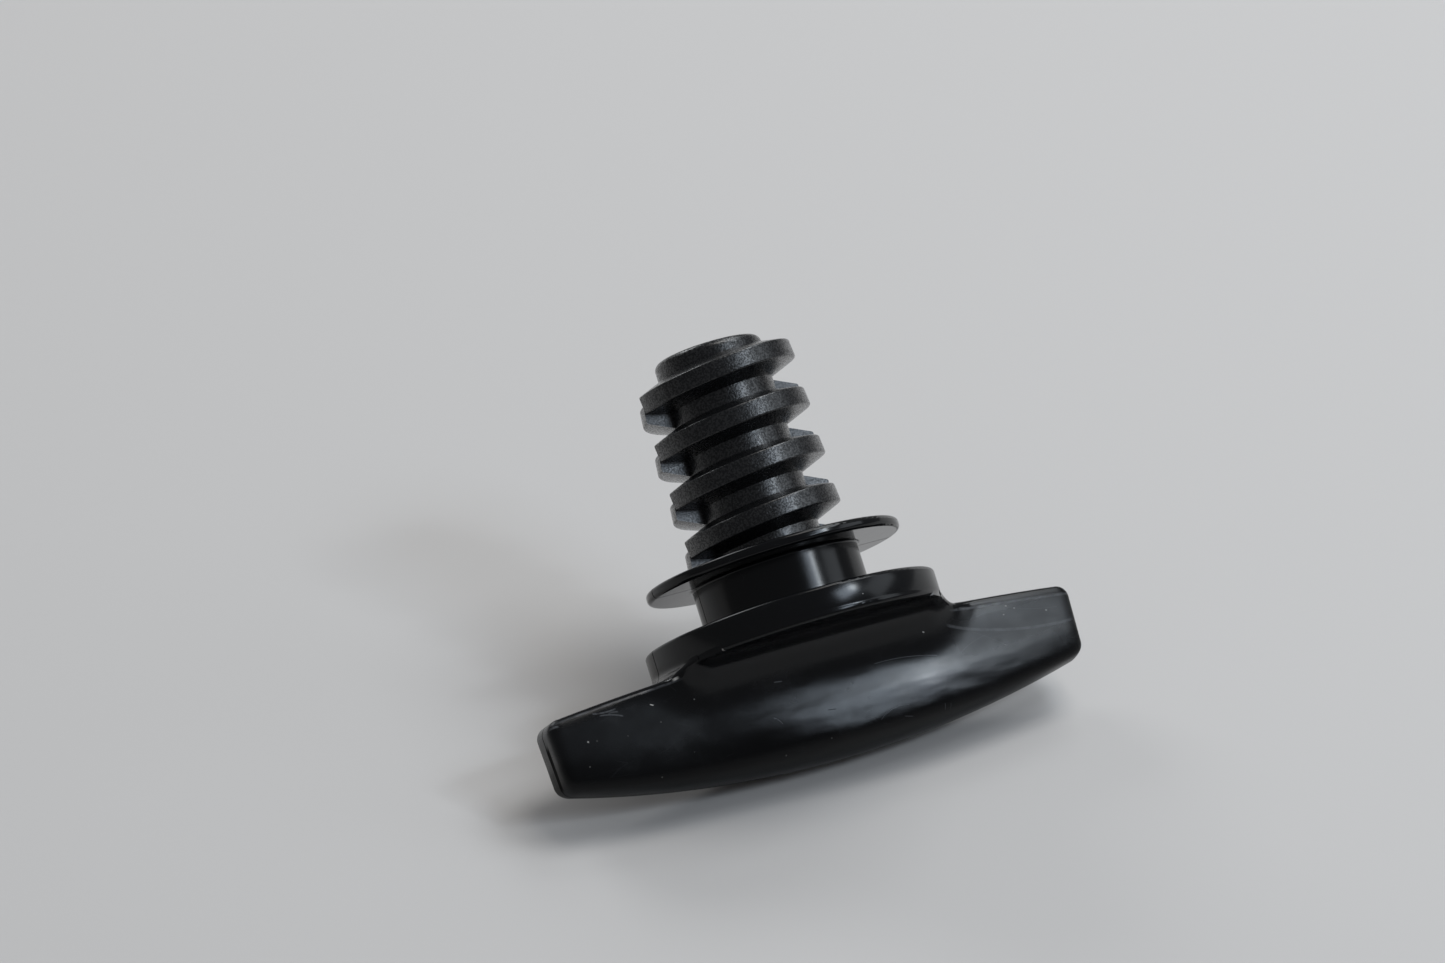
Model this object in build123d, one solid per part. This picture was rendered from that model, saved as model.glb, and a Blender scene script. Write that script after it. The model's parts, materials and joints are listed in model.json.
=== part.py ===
from build123d import *
import math
import os

# Thread on the stem, one start, right hand
thread_diameter = 18.0
core_diameter = 12.0
thread_pitch = 5.5
crest_width = 1.95
flank_angle = 17.0
turn_count = 4
crest_edge_radius = 0.25
first_rib_height = 3.8
tip_run_out = 3.4
tip_edge_radius = 0.8

# Neck and retaining disc
neck_diameter = 18.6
neck_length = 5.3
disc_diameter = 28.5
disc_thickness = 1.2
disc_edge_radius = 0.45

# Flange and the hub that carries it on the bar
flange_diameter = 32.6
flange_thickness = 3.35
seat_edge_radius = 0.4
hub_edge_radius = 0.5
inside_corner_radius = 0.3
cove_radius = 6.1
flare_setback = 3.7
root_radius = 1.5
root_span = 5.05

# Grip bar
bar_length = 62.0
bar_middle_thickness = 9.8
bar_end_thickness = 5.3
bar_depth = 16.7
bow_rise = 3.9
side_taper = 4.6
wing_middle_drop = 3.44
wing_end_drop = 4.95
end_draft = 0.4
crown_radius = 7.2
bar_corner_radius = 1.4
bar_edge_radius = 0.8

# Cutting tools run past the solid by this much
overrun = 2.0

# The webs between hub and wings begin at this share of the flange radius
web_start_share = 0.88

# Two lengths that differ by less than this share are the same
match_share = 1e-4
quarter_turn = 90.0
half_turn = 180.0

# Faces that meet at less than this angle run smoothly into each other
smooth_angle = 25.0

flange_radius = flange_diameter / 2
flare_half_length = flange_radius - flare_setback
neck_radius = neck_diameter / 2
disc_radius = disc_diameter / 2
core_radius = core_diameter / 2
thread_radius = thread_diameter / 2
half_length = bar_length / 2
half_middle = bar_middle_thickness / 2
half_end = bar_end_thickness / 2
outer_half_length = half_length - end_draft
end_depth = bar_depth - bow_rise
hub_depth = flange_thickness + cove_radius
flare_center = -flange_thickness / 2
flare_reach = hub_depth + flare_center
web_start = flange_radius * web_start_share
disc_top = neck_length + disc_thickness
first_rib = disc_top + first_rib_height
tip_height = first_rib + (turn_count - 1) * thread_pitch + tip_run_out


def same(first, second):
    """Whether two lengths are alike."""
    return math.isclose(first, second, rel_tol=match_share)


def arc_radius(half_chord, rise):
    """Radius of the arc that stands rise high over a chord."""
    return (half_chord**2 + rise**2) / (2 * rise)


taper_run = math.cos(math.radians(side_taper))
taper_fall = math.sin(math.radians(side_taper))
plan_radius = flare_half_length / taper_fall
plan_center = plan_radius - half_middle
plan_axis = Axis((0, plan_center, 0), (0, 0, 1))
bow_radius = arc_radius(outer_half_length, bow_rise)
wing_radius = arc_radius(half_length, wing_end_drop - wing_middle_drop)


def bar_plan():
    """The bar seen along the stem: a bowed middle, straight runs beside the hub and bowed wings."""
    half_taper = math.radians(side_taper / 2)
    between = (plan_radius * math.sin(half_taper), plan_center - plan_radius * math.cos(half_taper))
    waist = (flare_half_length, plan_center - plan_radius * taper_run)
    run_end = (waist[0] + flare_reach * taper_run, waist[1] + flare_reach * taper_fall)
    corner = (half_length, -half_end)
    with BuildSketch() as sketch:
        with BuildLine():
            ThreePointArc((0, -half_middle), between, waist)
            Line(waist, run_end)
            TangentArc(run_end, corner, tangent=(taper_run, taper_fall))
            Line(corner, (half_length, 0))
            mirror(about=Plane.YZ)
            mirror(about=Plane.XZ)
        make_face()
    return sketch.sketch


def bar_side():
    """The bar seen from the front, with its bowed grip below."""
    upper_left = (-half_length, -wing_end_drop)
    upper_right = (half_length, -wing_end_drop)
    lower_left = (-outer_half_length, -end_depth)
    lower_right = (outer_half_length, -end_depth)
    with BuildSketch(Plane.XZ) as sketch:
        with BuildLine():
            Line(lower_left, upper_left)
            ThreePointArc(upper_left, (0, -wing_middle_drop), upper_right)
            Line(upper_right, lower_right)
            ThreePointArc(lower_right, (0, -bar_depth), lower_left)
        make_face()
    return sketch.sketch


def root_ring():
    """Ring whose round hollow leads from the flange's rim down to the wings."""
    ring_radius = flange_radius + root_radius
    wing_drop = wing_radius - math.sqrt(wing_radius**2 - ring_radius**2) + wing_middle_drop
    root_sink = wing_radius - math.sqrt(wing_radius**2 - root_span**2)
    foot = -wing_drop - root_sink
    hollow_start = (flange_radius, foot + root_radius)
    hollow_end = (ring_radius, foot)
    rim_top = (flange_radius, flare_center)
    with BuildSketch(Plane.XZ) as sketch:
        with BuildLine():
            Polyline(hollow_end, (0, foot), (0, flare_center), rim_top, hollow_start)
            RadiusArc(hollow_start, hollow_end, -root_radius)
        make_face()
    return revolve(sketch.sketch, Axis.Z)


def grip_crown():
    """Everything inside the grip's face, which is round across and bowed along the bar."""
    reach = half_middle + bar_edge_radius
    edge = crown_radius - math.sqrt(crown_radius**2 - reach**2) - bar_depth
    with BuildSketch(Plane.YZ) as sketch:
        with BuildLine():
            ThreePointArc((-reach, edge), (0, -bar_depth), (reach, edge))
            Polyline((reach, edge), (reach, 0), (-reach, 0), (-reach, edge))
        make_face()
    axis = Axis((0, 0, bow_radius - bar_depth), (0, 1, 0))
    sweep_angle = 2 * math.degrees(math.asin((half_length + bar_depth) / bow_radius))
    return revolve(sketch.sketch, axis, sweep_angle).rotate(axis, -sweep_angle / 2)


def cove_section():
    """Hub material behind the front cove, which is tangent to the flange and to the bar's side."""
    edge = half_middle + cove_radius
    cove_top = (-edge, -flange_thickness)
    cove_foot = (-half_middle, -hub_depth)
    with BuildSketch(Plane.YZ) as sketch:
        with BuildLine():
            Polyline(cove_foot, (0, -hub_depth), (0, flare_center), (-edge, flare_center), cove_top)
            RadiusArc(cove_top, cove_foot, cove_radius)
        make_face()
    return sketch.sketch


def flare_end():
    """Rounded right end of the front cove, where it runs out on the bar's side."""
    turned = revolve(cove_section(), Axis((0, 0, flare_center), (0, 1, 0)), -quarter_turn)
    return turned.rotate(plan_axis, side_taper)


def front_flare():
    """The front cove along the bar, with both its rounded ends."""
    middle = revolve(cove_section(), plan_axis, 2 * side_taper).rotate(plan_axis, -side_taper)
    right = flare_end()
    return middle + right + right.mirror(Plane.YZ)


def runs_across(edge):
    """Whether an edge runs from the front side of the bar to its back at one of its ends."""
    return same((edge @ 0).Y, -(edge @ 1).Y) and abs((edge @ 0.5).X) > flange_radius + root_radius


def is_sharp(edge, solid):
    """Whether the two faces beside an edge meet at a corner."""
    beside = [face for face in solid.faces() if any(edge.is_same(other) for other in face.edges())]
    middle = edge @ 0.5
    normals = [face.normal_at(middle) for face in beside]
    return len(normals) == 2 and normals[0].get_angle(normals[1]) > smooth_angle


def is_outline(edge):
    """Whether an edge lies on the outline of the bar's front or back, outside the hub."""
    ends = (edge @ 0, edge @ 1)
    on_cut = all(same(abs(end.X), web_start) for end in ends)
    on_top = any(same(end.Z, flare_center) for end in ends)
    return abs((edge @ 0.5).Y) > half_end / 2 and not on_cut and not on_top


def root_web():
    """Web that carries the front upper edge of the right wing out to the flange."""
    beyond = Rectangle(flange_diameter, flange_diameter, align=(Align.MIN, Align.CENTER))
    trim = extrude(bar_side(), flange_radius, both=True) + root_ring()
    return flare_end() & trim & Pos(web_start, 0, 0) * extrude(beyond, -hub_depth - overrun)


def grip_bar():
    """The bar and its webs, with rounded corners and edges."""
    bar = extrude(bar_side(), half_middle + overrun, both=True)
    bar = bar & extrude(bar_plan(), -bar_depth - overrun) & grip_crown()
    bar = fillet([edge for edge in bar.edges() if runs_across(edge)], bar_corner_radius)
    web = root_web()
    left_web = web.mirror(Plane.YZ)
    for piece in (web, left_web, web.mirror(Plane.XZ), left_web.mirror(Plane.XZ)):
        bar = bar + piece
    bar = bar.clean()
    for side in (-1, 1):
        loop = [edge for edge in bar.edges() if is_outline(edge) and side * (edge @ 0.5).Y > 0]
        bar = fillet([edge for edge in loop if is_sharp(edge, bar)], bar_edge_radius)
    return bar


def turned_body():
    """Flange, neck, retaining disc and core, which are round about the stem's axis."""
    with BuildSketch(Plane.XZ) as sketch:
        with BuildLine():
            Polyline(
                (0, -flange_thickness),
                (flange_radius, -flange_thickness),
                (flange_radius, 0),
                (neck_radius, 0),
                (neck_radius, neck_length),
                (disc_radius, neck_length),
                (disc_radius, disc_top),
                (core_radius, disc_top),
                (core_radius, tip_height),
                (0, tip_height),
                close=True,
            )
        make_face()
    profile = sketch.sketch
    for corner, radius in (
        ((flange_radius, -flange_thickness), hub_edge_radius),
        ((flange_radius, 0), seat_edge_radius),
        ((neck_radius, 0), inside_corner_radius),
        ((neck_radius, neck_length), inside_corner_radius),
        ((disc_radius, neck_length), disc_edge_radius),
        ((disc_radius, disc_top), disc_edge_radius),
        ((core_radius, disc_top), inside_corner_radius),
        ((core_radius, tip_height), tip_edge_radius),
    ):
        point = Vector(corner[0], 0, corner[1])
        profile = fillet(profile.vertices().sort_by_distance(point)[0], radius)
    return revolve(profile, Axis.Z)


def hub():
    """Turned body with the coved block below its flange."""
    flare = front_flare()
    block = extrude(Circle(flange_radius), -hub_depth) & (flare + flare.mirror(Plane.XZ))
    return turned_body() + block


def half_rib(side):
    """Half a thread turn, tilted flat so that its mould half draws off it."""
    half_crest = crest_width / 2
    root_reach = core_radius - overrun
    half_root = half_crest + (thread_radius - root_reach) * math.tan(math.radians(flank_angle))
    with BuildSketch(Plane.XZ) as sketch:
        with BuildLine():
            Polyline(
                (root_reach, -half_root),
                (thread_radius, -half_crest),
                (thread_radius, half_crest),
                (root_reach, half_root),
                close=True,
            )
        make_face()
    crest = [corner for corner in sketch.sketch.vertices() if same(corner.X, thread_radius)]
    profile = fillet(crest, crest_edge_radius)
    lead_angle = math.degrees(math.atan(thread_pitch / (math.pi * thread_diameter)))
    rib = revolve(profile, Axis.Z, -half_turn * side)
    return rib.rotate(Axis.Y, -lead_angle * side)


def thread():
    """Front and back half turns, half a pitch apart along the stem."""
    ribs = []
    for turn in range(turn_count):
        height = first_rib + turn * thread_pitch
        ribs.append(Pos(0, 0, height) * half_rib(1))
        ribs.append(Pos(0, 0, height - thread_pitch / 2) * half_rib(-1))
    return ribs


def rest_slope():
    """Slope of the table line under the grip's back edge and the flange's lower rim."""
    grip_y = half_middle - bar_edge_radius
    crown_reach = crown_radius - bar_edge_radius
    grip_z = crown_radius - bar_depth - math.sqrt(crown_reach**2 - grip_y**2)
    rise = hub_edge_radius - flange_thickness - grip_z
    run = flange_radius - hub_edge_radius - grip_y
    lean = math.asin((bar_edge_radius - hub_edge_radius) / math.hypot(rise, run))
    return math.degrees(math.atan2(rise, run) + lean)


plug = grip_bar() + hub()
for rib in thread():
    plug = plug + rib
plug = plug.clean()

# The plug lies on the grip's back edge and the flange rim, with its thread up and back
plug = plug.rotate(Axis.X, -rest_slope())
box = plug.bounding_box()
plug = Pos(-box.center().X, -box.center().Y, -box.min.Z) * plug

os.makedirs("parts", exist_ok=True)
export_step(plug, "parts/screw_plug.step")
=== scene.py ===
import json
import math

import bpy
from bpy.props import FloatProperty, FloatVectorProperty, PointerProperty
from bpy.types import Operator, Panel, PropertyGroup
from mathutils import Euler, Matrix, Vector

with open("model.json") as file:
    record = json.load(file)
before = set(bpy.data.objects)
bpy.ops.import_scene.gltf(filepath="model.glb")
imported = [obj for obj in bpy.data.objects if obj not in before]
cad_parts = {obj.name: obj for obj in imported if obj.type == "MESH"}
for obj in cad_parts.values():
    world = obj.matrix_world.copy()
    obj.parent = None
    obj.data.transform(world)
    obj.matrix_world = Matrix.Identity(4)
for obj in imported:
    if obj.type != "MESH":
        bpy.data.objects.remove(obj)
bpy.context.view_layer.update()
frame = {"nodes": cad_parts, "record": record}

bl_info = {
    "name": "Screw plug",
    "version": (1, 0, 0),
    "blender": (4, 5, 0),
    "location": "View3D > Sidebar > Plug",
    "description": "Moulded black finish of a hand-turned screw plug, and the table it lies on",
    "category": "Object",
}

PLUG = frame["nodes"]["screw_plug"]
SEAT = next(mount for mount in frame["record"]["mounts"] if mount["name"] == "seat")
SEAT_CENTER = Vector(SEAT["pos_m"])
STEM_TILT = -math.atan2(SEAT["axis"][1], SEAT["axis"][2])
MILLIMETRE = 0.001
SENSOR_WIDTH = 36.0

# Where each surface of the plug begins and where it is in full, or where it ends, in millimetres:
# up the stem from the flange's seat, along or across the bar, or out from the stem's axis.
THREAD_UP = (6.45, 6.75)
THREAD_OUT = (9.4, 9.8)
BAR_UP = (-4.0, -6.5)
FRONT_ACROSS = (-3.0, -2.0)
RIM_UP = (-3.5, -2.6)
RIM_OUT = (15.6, 15.9)
NECK_UP = (0.0, 0.3)
NECK_TOP = (5.2, 5.4)
NECK_OUT = (9.6, 9.9)
WING_ALONG = (12.0, 19.0)
WING_EDGE_ALONG = (15.5, 17.0)
PARTING_OUT = (6.0, 6.5)
BAR_END_ALONG = (30.0, 30.4)

# Curves of the bar and the rim, in millimetres: how far the grip face lies below the seat and rises towards
# the bar's ends, how high its crown reaches, how far the wings' upper edges lie below the seat, how they
# bend and how the painted highlight line on them leans, and how far below the seat the rim is fullest.
BAR_HALF_LENGTH = 31.0
GRIP_DROP = 14.8
GRIP_RISE = 2.5
GRIP_BAND = 4.5
WING_DROP = 3.44
WING_BEND = 638.0
WING_LEAN = 0.011
RIM_DROP = 0.9

# How much of the scuffs' or the dust's colour each mark takes; the pale line along the wings' upper edges
# and the pale parting line on the thread are also painted highlights
HAZE_PALENESS = 0.03
THREAD_PALENESS = 0.012
HAIRLINE_PALENESS = 0.03
RUB_AND_HIGHLIGHT_PALENESS = 0.45
MOTE_PALENESS = 0.4
FLASH_AND_HIGHLIGHT_PALENESS = 0.5

# How much of the shine each darkened place loses: the parting line, with the end slits also standing in for
# painted shade in their gaps, the painted shade under the wings' upper edges, and the painted shade on the
# grip face
PARTING_DARKNESS = 0.9
WING_TOP_PAINTED_SHADE = 0.6
GRIP_PAINTED_SHADE = 0.4
SHADE_COLOR = (0.002, 0.002, 0.002, 1.0)

# What each layer adds to the roughness
HAZE_ROUGHNESS = 0.16
WORN_ROUGHNESS = 0.06
WING_ROUGHNESS = 0.07
CROWN_POLISH = 0.03
SIDE_ROUGHNESS = 0.06
SCRATCH_ROUGHNESS = 0.08
DUST_ROUGHNESS = 0.5
COAT_ROUGHNESS = 0.28

# What each layer adds to the height, in millimetres
WAVE_DEPTH = 0.2
SPECKLE_DEPTH = 0.002
CROWN_BULGE = 0.012
RIM_BULGE = 0.05
PARTING_DEPTH = 0.04

# Noise drawn out along the bar: turns and scales of its space
WAVE_STRETCH = (0.07, 0.2, 0.2)
HAIRLINE_TURN = (0.3, 0.35, 0.2)
HAIRLINE_STRETCH = (0.10, 0.5, 0.5)


class Value:
    """A shader socket that takes part in Python expressions."""

    def __init__(self, tree, socket):
        self.tree = tree
        self.socket = socket

    def calc(self, operation, *others):
        """A Math node on this value and the others."""
        return self.tree.math(operation, self, *others)

    def __add__(self, other):
        return self.calc("ADD", other)

    def __radd__(self, other):
        return self.calc("ADD", other)

    def __sub__(self, other):
        return self.calc("SUBTRACT", other)

    def __rsub__(self, other):
        return self.tree.math("SUBTRACT", other, self)

    def __mul__(self, other):
        return self.calc("MULTIPLY", other)

    def __rmul__(self, other):
        return self.calc("MULTIPLY", other)

    def __truediv__(self, other):
        return self.calc("DIVIDE", other)

    def __rtruediv__(self, other):
        return self.tree.math("DIVIDE", other, self)

    def __abs__(self):
        return self.calc("ABSOLUTE")

    def most(self, other):
        """The greater of this value and the other."""
        return self.calc("MAXIMUM", other)

    def root(self):
        """The square root of this value."""
        return self.calc("SQRT")

    def ramp(self, low, high, start=0.0, end=1.0):
        """Smooth step from start at low to end at high."""
        settings = {"interpolation_type": "SMOOTHSTEP"}
        sockets = {"Value": self, "From Min": low, "From Max": high, "To Min": start, "To Max": end}
        return self.tree.node("ShaderNodeMapRange", settings, sockets)["Result"]

    def fall(self, low, high):
        """Smooth step from one at low to none at high."""
        return self.ramp(low, high, 1.0, 0.0)

    def near(self, middle, reach, fade):
        """One within reach of the middle, falling to none over the fade."""
        return abs(self - middle).fall(reach, reach + fade)


class Node:
    """A shader node whose outputs are read by name."""

    def __init__(self, tree, node):
        self.tree = tree
        self.node = node

    def __getitem__(self, name):
        return Value(self.tree, self.node.outputs[name])


class Tree:
    """A node tree that is written as expressions."""

    def __init__(self, owner):
        owner.use_nodes = True
        self.nodes = owner.node_tree.nodes
        self.links = owner.node_tree.links
        self.nodes.clear()

    def put(self, socket, value):
        """Link a value into a socket, or write a plain number or colour on it."""
        if isinstance(value, Value):
            self.links.new(value.socket, socket)
        else:
            socket.default_value = value

    def node(self, kind, settings, sockets):
        """Any node: its settings first, then its sockets by name or number."""
        node = self.nodes.new(kind)
        for name, setting in settings.items():
            setattr(node, name, setting)
        for name, value in sockets.items():
            self.put(node.inputs[name], value)
        return Node(self, node)

    def math(self, operation, *values):
        """A Math node on values and plain numbers."""
        sockets = dict(enumerate(values))
        return self.node("ShaderNodeMath", {"operation": operation}, sockets)["Value"]

    def noise(self, place, scale, detail, roughness=0.5):
        """Cloudy noise around one half."""
        sockets = {"Vector": place, "Scale": scale, "Detail": detail, "Roughness": roughness}
        return self.node("ShaderNodeTexNoise", {}, sockets)["Fac"]

    def mix_color(self, factor, first, second):
        """Second colour over the first where the factor is one."""
        return self.node("ShaderNodeMix", {"data_type": "RGBA"}, {0: factor, 6: first, 7: second})[2]


class PlugFinish(PropertyGroup):
    """Colours and surface sizes of the moulding."""

    body_color: FloatVectorProperty(
        name="Plastic", description="Colour of the black moulding", subtype="COLOR",
        size=4, min=0.0, max=1.0, default=(0.0025, 0.0028, 0.0034, 1.0))
    # This colour marks real scuffs and also paints highlights: the line along the wings' upper edges and
    # the thread's parting line
    scuff_and_highlight_color: FloatVectorProperty(
        name="Scuffs", description="Colour of rubbed and scratched plastic", subtype="COLOR",
        size=4, min=0.0, max=1.0, default=(0.13, 0.135, 0.145, 1.0))
    dust_color: FloatVectorProperty(
        name="Dust", description="Colour of dust specks", subtype="COLOR",
        size=4, min=0.0, max=1.0, default=(0.52, 0.51, 0.49, 1.0))
    hub_roughness: FloatProperty(
        name="Hub roughness", description="Roughness of the polished hub", subtype="FACTOR",
        min=0.0, max=1.0, default=0.12)
    bar_roughness: FloatProperty(
        name="Bar roughness", description="Roughness of the handled bar", subtype="FACTOR",
        min=0.0, max=1.0, default=0.23)
    thread_roughness: FloatProperty(
        name="Thread roughness", description="Roughness of the grained thread", subtype="FACTOR",
        min=0.0, max=1.0, default=0.25)
    grain_size: FloatProperty(
        name="Grain size", description="Size of one grain on the thread, in millimetres",
        min=0.05, max=1.0, default=0.21)
    grain_depth: FloatProperty(
        name="Grain depth", description="Depth of the grain on the thread, in millimetres",
        min=0.0, max=0.5, default=0.06)
    edge_softness: FloatProperty(
        name="Bar edges", description="Reach of the rubbed, soft edges of the bar", unit="LENGTH",
        min=0.0, max=0.01, default=0.0019)
    gloss: FloatProperty(
        name="Gloss", description="Strength of the plastic's shine", subtype="FACTOR",
        min=0.0, max=1.0, default=0.24)
    parting_width: FloatProperty(
        name="Parting line", description="Width of the mould's parting line, in millimetres",
        min=0.0, max=1.0, default=0.2)


class TableSettings(PropertyGroup):
    """Table, lamps and camera."""

    table_color: FloatVectorProperty(
        name="Table", description="Colour of the pale table", subtype="COLOR",
        size=4, min=0.0, max=1.0, default=(0.515, 0.50, 0.488, 1.0))
    table_roughness: FloatProperty(
        name="Table roughness", description="Roughness of the table", subtype="FACTOR",
        min=0.0, max=1.0, default=0.8)
    table_gloss: FloatProperty(
        name="Table gloss", description="Strength of the table's shine", subtype="FACTOR",
        min=0.0, max=1.0, default=0.1)
    room_color: FloatVectorProperty(
        name="Room", description="Colour of the light from all around", subtype="COLOR",
        size=4, min=0.0, max=1.0, default=(0.185, 0.188, 0.195, 1.0))
    table_size: FloatProperty(
        name="Table size", description="Side of the table top", unit="LENGTH", default=6.0)
    camera_place: FloatVectorProperty(
        name="Camera", description="Place of the camera", subtype="TRANSLATION", unit="LENGTH",
        default=(-0.24823, -0.51957, 0.42143))
    camera_turn: FloatVectorProperty(
        name="Camera turn", description="Direction of the camera", subtype="EULER",
        default=tuple(math.radians(angle) for angle in (55.6213, -0.3188, -24.8368)))
    camera_lens: FloatProperty(
        name="Lens", description="Focal length in millimetres on a 36 mm sensor", default=161.963)


# Marks on the front of the bar, in millimetres along the bar and up the stem:
# first end, last end, bow of the line, half its width, strength. The core is the part of the
# half width that shows in full.
STROKE_CORE = 0.4
SCRATCHES = (
    ((5.75, -8.20), (13.18, -9.02), 0.28, 0.05, 0.35),
    ((4.62, -14.19), (8.23, -13.40), 0.42, 0.05, 0.30),
    ((-7.01, -10.98), (-6.25, -11.86), 0.10, 0.06, 0.45),
    ((-5.94, -7.34), (-5.05, -7.46), 0.0, 0.07, 0.6),
    ((7.38, -14.48), (8.34, -14.72), 0.0, 0.06, 0.35),
    ((12.37, -14.25), (12.33, -14.9), 0.0, 0.05, 0.35),
    ((13.07, -14.4), (13.02, -15.0), 0.0, 0.05, 0.35),
    ((15.23, -6.21), (30.23, -8.85), -0.75, 0.22, 0.28),
    ((-25.20, -5.75), (-22.8, -6.42), 0.12, 0.10, 0.40),
    ((-25.87, -5.36), (-23.36, -5.47), -0.12, 0.12, 0.45),
    ((-24.2, -5.75), (-23.2, -5.85), 0.06, 0.10, 0.35),
    ((-30.9, -5.75), (-29.8, -5.62), 0.05, 0.16, 0.7),
    ((-31.2, -6.7), (-31.0, -5.9), 0.1, 0.12, 0.6),
    ((18.2, -7.6), (21.6, -9.9), 0.1, 0.05, 0.12),
    ((24.2, -6.3), (28.9, -7.1), -0.1, 0.05, 0.14),
    ((16.0, -9.4), (19.5, -8.2), 0.2, 0.05, 0.12),
)
DUST = (
    ((-19.60, -6.03), (-19.28, -6.20), 0.0, 0.08, 0.8),
    ((-27.26, -8.06), (-27.20, -8.12), 0.0, 0.12, 1.0),
    ((-26.30, -8.22), (-26.26, -8.26), 0.0, 0.10, 0.25),
    ((-27.85, -10.66), (-27.81, -10.72), 0.0, 0.10, 0.35),
    ((-19.06, -8.12), (-19.0, -8.16), 0.0, 0.08, 0.3),
    ((-15.0, -6.78), (-14.9, -6.82), 0.0, 0.08, 0.35),
    ((-16.6, -4.25), (-16.2, -4.18), 0.0, 0.20, 0.9),
    ((12.0, -6.26), (12.2, -6.36), 0.0, 0.09, 0.5),
    ((-22.94, -8.60), (-22.90, -8.64), 0.0, 0.08, 0.2),
    ((-16.52, -12.18), (-16.48, -12.20), 0.0, 0.08, 0.2),
    ((-20.70, -13.80), (-20.62, -13.84), 0.0, 0.09, 0.35),
    ((-6.80, -15.13), (-6.72, -15.17), 0.0, 0.09, 0.35),
    ((-1.48, -14.69), (-1.40, -14.71), 0.0, 0.08, 0.3),
    ((22.84, -5.66), (23.0, -5.70), 0.0, 0.11, 0.5),
    ((23.75, -6.10), (23.87, -6.14), 0.0, 0.09, 0.5),
    ((22.29, -6.52), (22.41, -6.56), 0.0, 0.09, 0.5),
    ((27.42, -7.18), (27.58, -7.22), 0.0, 0.10, 0.5),
)
NICKS = (
    ((-0.92, -11.69), (-0.01, -11.81), 0.0, 0.07, 0.7),
    ((-3.95, -12.18), (-3.85, -12.22), 0.0, 0.10, 0.6),
    ((5.25, -13.03), (5.35, -13.08), 0.0, 0.10, 0.6),
    ((20.6, -9.1), (21.1, -9.3), 0.0, 0.35, 0.25),
    ((22.2, -10.2), (22.9, -10.6), 0.0, 0.40, 0.25),
)


def stroke(along, up, first, last, bow, breadth):
    """A thin bowed line between two points that fades at its ends."""
    run = Vector(last) - Vector(first)
    east, north = run.normalized()
    right, above = along - first[0], up - first[1]
    share = (right * east + above * north) / run.length
    aside = above * east - right * north - share * (1 - share) * (4 * bow)
    fade = breadth / run.length
    line = abs(aside).fall(STROKE_CORE * breadth, breadth)
    return line * share.ramp(-fade, fade) * share.fall(1 - fade, 1 + fade)


def strokes(along, up, marks):
    """All marks of one kind, the strongest on top."""
    cover = 0.0
    for first, last, bow, breadth, strength in marks:
        cover = (stroke(along, up, first, last, bow, breadth) * strength).most(cover)
    return cover


def plug_place(tree):
    """Place on the plug in millimetres from the flange's seat, with the stem upright."""
    place = tree.node("ShaderNodeTexCoord", {}, {})["Object"]
    return tree.node(
        "ShaderNodeMapping", {"vector_type": "TEXTURE"},
        {"Vector": place, "Location": SEAT_CENTER, "Rotation": (STEM_TILT, 0.0, 0.0),
         "Scale": (MILLIMETRE, MILLIMETRE, MILLIMETRE)})["Vector"]


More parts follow.
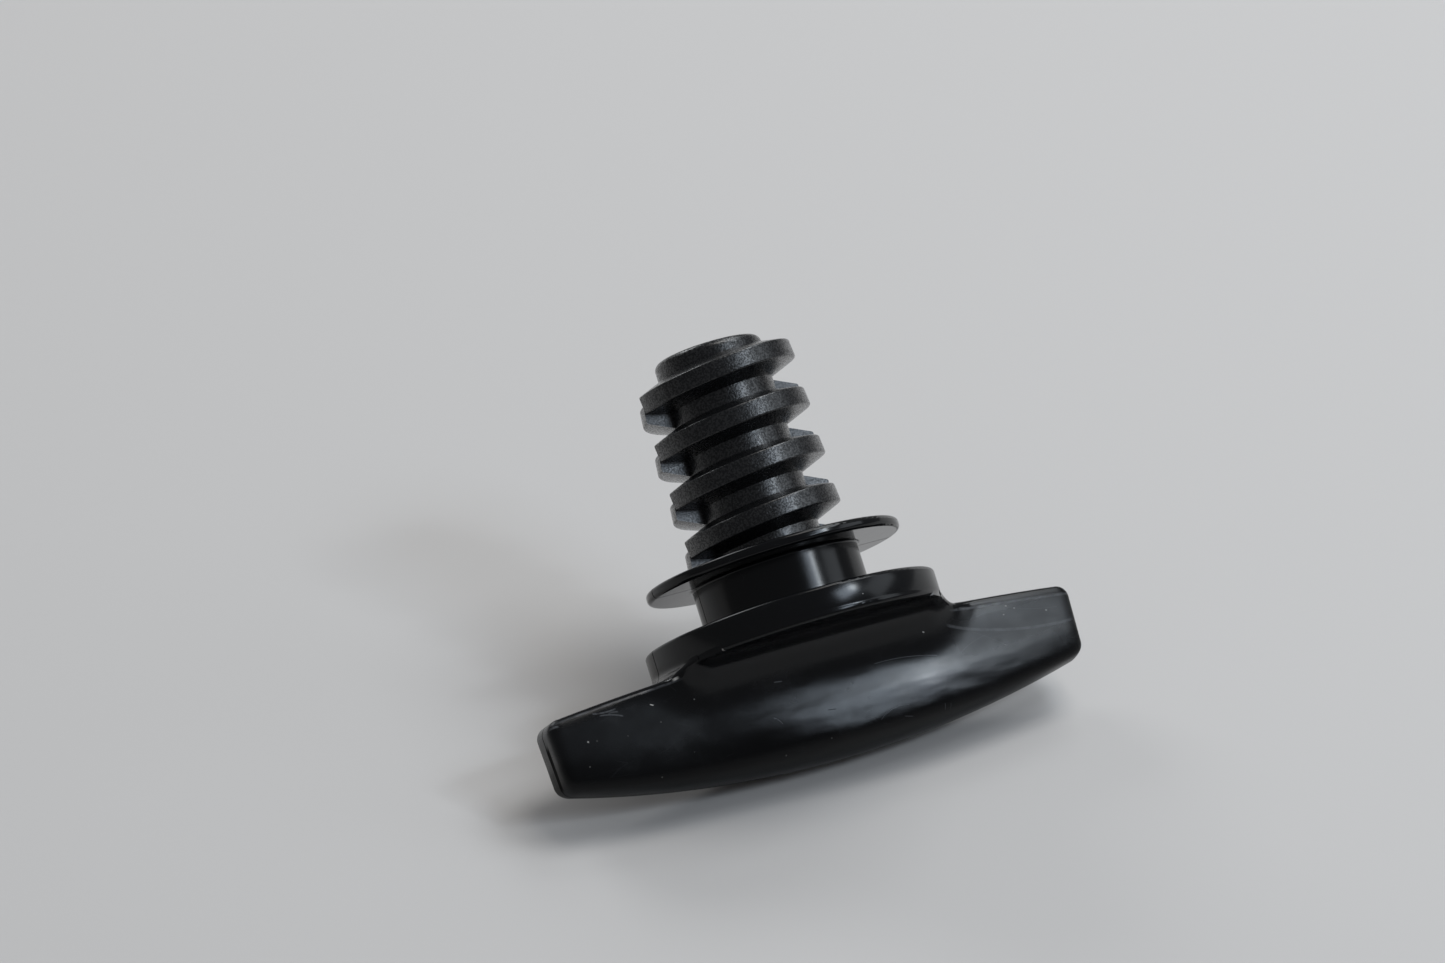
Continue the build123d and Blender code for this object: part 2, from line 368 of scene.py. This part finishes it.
def plug_material(finish):
    """Black moulding: polished hub, handled bar, grained thread, parting line, scratch marks and dust, with
    painted highlights along the wings' upper edges and the thread's parting line, and painted shade on the
    wings' tops, the grip face and the end slits.
    """
    material = bpy.data.materials.new("black_moulding")
    tree = Tree(material)
    body, scuff_and_highlight, powder = tuple(finish.body_color), tuple(finish.scuff_and_highlight_color), tuple(finish.dust_color)
    place = plug_place(tree)
    split = tree.node("ShaderNodeSeparateXYZ", {}, {"Vector": place})
    along, across, up = split["X"], split["Y"], split["Z"]
    radius = (along * along + across * across).root()

    # Where each surface lies
    thread = up.ramp(*THREAD_UP) * radius.fall(*THREAD_OUT)
    bar = up.ramp(*BAR_UP)
    front = across.fall(*FRONT_ACROSS)
    rim = up.ramp(*RIM_UP) * radius.ramp(*RIM_OUT)
    neck = up.ramp(*NECK_UP) * up.fall(*NECK_TOP) * radius.fall(*NECK_OUT)
    wings = bar * abs(along).ramp(*WING_ALONG)
    lower_edge = along * along * (GRIP_RISE / BAR_HALF_LENGTH ** 2) - GRIP_DROP
    crown = (lower_edge + GRIP_BAND - up).most(0.0)
    swell = up + RIM_DROP
    edge_drop = along * along * (-1.0 / WING_BEND) - WING_DROP - up
    lip = edge_drop - along * WING_LEAN

    # Grain of the thread, waves along the bar, haze from handling and fine speckle
    grain = tree.noise(place, 1.0 / finish.grain_size, detail=1.5, roughness=0.55)
    drawn = tree.node("ShaderNodeMapping", {}, {"Vector": place, "Scale": WAVE_STRETCH})["Vector"]
    waves = tree.noise(drawn, scale=1.0, detail=2.5)
    streaks = tree.noise(drawn, scale=9.0, detail=3.0, roughness=0.7)
    haze = tree.noise(place, scale=0.16, detail=4.0, roughness=0.62)
    speckle = tree.noise(place, scale=2.2, detail=2.0, roughness=0.6)
    worn = haze.ramp(0.50, 0.72) * bar

    # Scratches on the bar's front, faint hairlines off the thread, and a painted highlight line along the
    # wings' upper edges, broken up by streaks like wear
    stretched = tree.node(
        "ShaderNodeMapping", {},
        {"Vector": place, "Rotation": HAIRLINE_TURN, "Scale": HAIRLINE_STRETCH})["Vector"]
    cells = tree.node(
        "ShaderNodeTexVoronoi", {"feature": "DISTANCE_TO_EDGE"}, {"Vector": stretched, "Scale": 1.0})
    patches = tree.noise(place, scale=0.31, detail=2.0).ramp(0.54, 0.64)
    hairlines = cells["Distance"].fall(0.006, 0.016) * patches
    scratch_and_highlight = strokes(along, up, SCRATCHES) * front * speckle.ramp(0.30, 0.55, start=0.45)
    scratch_and_highlight = scratch_and_highlight.most(hairlines * (1 - thread) * HAIRLINE_PALENESS)
    # Painted highlight: a pale line just under the wings' upper edges, broken up by streaks
    rub_and_highlight = lip.near(middle=0.75, reach=0.04, fade=0.16) * abs(along).ramp(*WING_EDGE_ALONG) * front
    scratch_and_highlight = scratch_and_highlight.most(rub_and_highlight * streaks.ramp(0.30, 0.65, start=0.3) * RUB_AND_HIGHLIGHT_PALENESS)

    # Dust that has settled here and there
    motes = tree.node("ShaderNodeTexVoronoi", {}, {"Vector": place, "Scale": 0.34, "Randomness": 1.0})
    chance = tree.node("ShaderNodeSeparateColor", {}, {"Color": motes["Color"]})["Red"]
    dust = motes["Distance"].fall(0.014, 0.030) * chance.ramp(0.80, 0.82) * MOTE_PALENESS
    dust = dust.most(strokes(along, up, DUST) * front)

    # The mould's parting line with the slits at the bar's ends, whose gaps are also painted as shade, the
    # nicks, and painted shade: a band under the wings' upper edges and a grip face growing darker towards
    # its lower edge
    parting = abs(across).fall(0.3 * finish.parting_width, 0.6 * finish.parting_width)
    parting = parting * radius.ramp(*PARTING_OUT)
    # Painted highlight: the parting line on the thread turns pale, standing in for lit rib-step edges as
    # well as a moulded fin
    flash_and_highlight = parting * thread
    groove = parting * (1 - thread)
    # Parting seam on the bar's end faces, made deeper black as painted shade in its gap
    parting_slit_and_shade = across.near(middle=-0.2, reach=0.36, fade=0.25) * abs(along).ramp(*BAR_END_ALONG)
    parting_slit_and_shade = parting_slit_and_shade * up.near(middle=-9.8, reach=2.0, fade=1.0)
    marks_and_painted_shade = groove.most(parting_slit_and_shade) * PARTING_DARKNESS
    marks_and_painted_shade = marks_and_painted_shade.most(strokes(along, up, NICKS) * front)
    # Painted shade: a band just under the wings' upper edges loses its shine and turns matt black
    marks_and_painted_shade = marks_and_painted_shade.most(lip.fall(0.4, 0.6) * wings * front * WING_TOP_PAINTED_SHADE)
    # Painted shade: the grip face grows darker and less shiny towards its lower edge
    marks_and_painted_shade = marks_and_painted_shade.most(crown.ramp(0.8, 2.6) * GRIP_PAINTED_SHADE)

    color = tree.mix_color((worn * HAZE_PALENESS).most(thread * THREAD_PALENESS), body, scuff_and_highlight)
    # Painted highlights take the scuffs' colour here: the line along the wings' upper edges and the
    # thread's parting line
    color = tree.mix_color(scratch_and_highlight.most(flash_and_highlight * FLASH_AND_HIGHLIGHT_PALENESS), color, scuff_and_highlight)
    color = tree.mix_color(dust, color, powder)

    roughness = finish.hub_roughness + bar * (finish.bar_roughness - finish.hub_roughness)
    roughness = roughness + thread * (finish.thread_roughness - finish.hub_roughness)
    roughness = roughness + (haze - 0.5) * HAZE_ROUGHNESS + worn * WORN_ROUGHNESS
    roughness = roughness + wings * WING_ROUGHNESS - crown * CROWN_POLISH
    roughness = roughness + (neck + rim) * SIDE_ROUGHNESS
    roughness = roughness + scratch_and_highlight * SCRATCH_ROUGHNESS + dust * DUST_ROUGHNESS

    height = thread * (grain - 0.5) * finish.grain_depth + (waves - 0.5) * bar * WAVE_DEPTH
    height = height + (speckle - 0.5) * SPECKLE_DEPTH
    height = height - crown * crown * CROWN_BULGE - rim * swell * swell * RIM_BULGE
    height = height - groove * PARTING_DEPTH

    # The bar's edges are rubbed soft, the hub and the thread keep theirs
    plain = tree.node("ShaderNodeNewGeometry", {}, {})["Normal"]
    soft = tree.node("ShaderNodeBevel", {"samples": 6}, {"Radius": finish.edge_softness})["Normal"]
    normal = tree.node("ShaderNodeMix", {"data_type": "VECTOR"}, {0: bar, 4: plain, 5: soft})[1]
    bump = tree.node(
        "ShaderNodeBump", {},
        {"Strength": 1.0, "Distance": MILLIMETRE, "Height": height, "Normal": normal})["Normal"]

    # The thread's grain sparkles through a patchy coat
    sparkle = thread * grain.ramp(0.41, 0.61, start=0.15, end=0.95)
    plastic = tree.node(
        "ShaderNodeBsdfPrincipled", {},
        {"Base Color": color, "Roughness": roughness, "Normal": bump, "IOR": 1.5,
         "Specular IOR Level": finish.gloss, "Coat Weight": sparkle,
         "Coat Roughness": COAT_ROUGHNESS})["BSDF"]
    shade = tree.node("ShaderNodeBsdfDiffuse", {}, {"Color": SHADE_COLOR})["BSDF"]
    surface = tree.node("ShaderNodeMixShader", {}, {0: marks_and_painted_shade, 1: plastic, 2: shade})["Shader"]
    tree.node("ShaderNodeOutputMaterial", {}, {"Surface": surface})
    return material


class PLUG_OT_finish(Operator):
    """Give the plug its moulded black finish"""

    bl_idname = "plug.finish"
    bl_label = "Finish the plug"

    def execute(self, context):
        PLUG.data.materials.clear()
        PLUG.data.materials.append(plug_material(context.scene.plug_finish))
        return {"FINISHED"}


# Lamps around the plug: name, azimuth from the front and elevation in degrees, distance, width and
# height in metres, brightness of the face, colour.
LAMPS = (
    ("key_window", 36.5, 42.5, 1.0, 0.28, 0.20, 10.5, (0.74, 0.86, 1.0)),
    ("window_core", 45, 42.5, 0.98, 0.08, 0.08, 36.0, (0.90, 0.96, 1.0)),
    ("low_window", 68, 27, 1.0, 0.50, 0.30, 1.7, (0.86, 0.93, 1.0)),
    ("right_window", 90, 56, 1.0, 0.55, 0.32, 6.5, (0.88, 0.94, 1.0)),
    ("far_window", 138, 42, 1.0, 0.50, 0.35, 3.5, (0.93, 0.97, 1.0)),
    ("back_window", 194, 27, 1.2, 0.50, 0.32, 6.0, (0.95, 0.98, 1.0)),
    ("ceiling", 115, 74, 1.2, 0.50, 0.50, 4.5, (1.0, 0.98, 0.95)),
)


def softbox(name, azimuth, elevation, distance, width, height, radiance, color):
    """A rectangular lamp that faces the plug, set by the brightness of its face."""
    lamp = bpy.data.lights.new(name, "AREA")
    lamp.shape = "RECTANGLE"
    lamp.size = width
    lamp.size_y = height
    lamp.energy = radiance * math.pi * width * height
    lamp.color = color
    turn, rise = math.radians(azimuth), math.radians(elevation)
    towards = Vector((math.sin(turn) * math.cos(rise), -math.cos(turn) * math.cos(rise), math.sin(rise)))
    box = bpy.data.objects.new(name, lamp)
    box.location = towards * distance
    box.rotation_euler = towards.to_track_quat("Z", "Y").to_euler()
    bpy.context.scene.collection.objects.link(box)


class PLUG_OT_stage(Operator):
    """Lay the pale table and set up the lamps and the camera"""

    bl_idname = "plug.stage"
    bl_label = "Set the stage"

    def execute(self, context):
        table = context.scene.plug_table
        half = table.table_size / 2
        mesh = bpy.data.meshes.new("table_top")
        corners = [(-half, -half, 0), (half, -half, 0), (half, half, 0), (-half, half, 0)]
        mesh.from_pydata(corners, [], [(0, 1, 2, 3)])
        top = bpy.data.objects.new("table_top", mesh)
        context.scene.collection.objects.link(top)
        material = bpy.data.materials.new("pale_table")
        tree = Tree(material)
        shader = tree.node(
            "ShaderNodeBsdfPrincipled", {},
            {"Base Color": tuple(table.table_color), "Roughness": table.table_roughness,
             "Specular IOR Level": table.table_gloss})
        tree.node("ShaderNodeOutputMaterial", {}, {"Surface": shader["BSDF"]})
        mesh.materials.append(material)

        for lamp in LAMPS:
            softbox(*lamp)

        world = bpy.data.worlds.new("room")
        sky = Tree(world)
        shader = sky.node(
            "ShaderNodeBackground", {}, {"Color": tuple(table.room_color), "Strength": 1.0})
        sky.node("ShaderNodeOutputWorld", {}, {"Surface": shader["Background"]})
        context.scene.world = world

        lens = bpy.data.cameras.new("camera")
        lens.lens = table.camera_lens
        lens.sensor_width = SENSOR_WIDTH
        camera = bpy.data.objects.new("camera", lens)
        camera.location = table.camera_place
        camera.rotation_euler = Euler(table.camera_turn)
        context.scene.collection.objects.link(camera)
        context.scene.camera = camera
        context.scene.view_settings.view_transform = "Standard"
        return {"FINISHED"}


class PLUG_PT_panel(Panel):
    """Everything that makes the plug, in order"""

    bl_label = "Screw plug"
    bl_idname = "PLUG_PT_panel"
    bl_space_type = "VIEW_3D"
    bl_region_type = "UI"
    bl_category = "Plug"

    def draw(self, context):
        for settings in (context.scene.plug_finish, context.scene.plug_table):
            for name in settings.__annotations__:
                self.layout.prop(settings, name)
        for operator in (PLUG_OT_finish, PLUG_OT_stage):
            self.layout.operator(operator.bl_idname)


CLASSES = (PlugFinish, TableSettings, PLUG_OT_finish, PLUG_OT_stage, PLUG_PT_panel)


def register():
    for cls in CLASSES:
        bpy.utils.register_class(cls)
    bpy.types.Scene.plug_finish = PointerProperty(type=PlugFinish)
    bpy.types.Scene.plug_table = PointerProperty(type=TableSettings)


def unregister():
    del bpy.types.Scene.plug_table
    del bpy.types.Scene.plug_finish
    for cls in reversed(CLASSES):
        bpy.utils.unregister_class(cls)


def main():
    register()
    bpy.ops.plug.finish()
    bpy.ops.plug.stage()


if __name__ == "__main__":
    main()
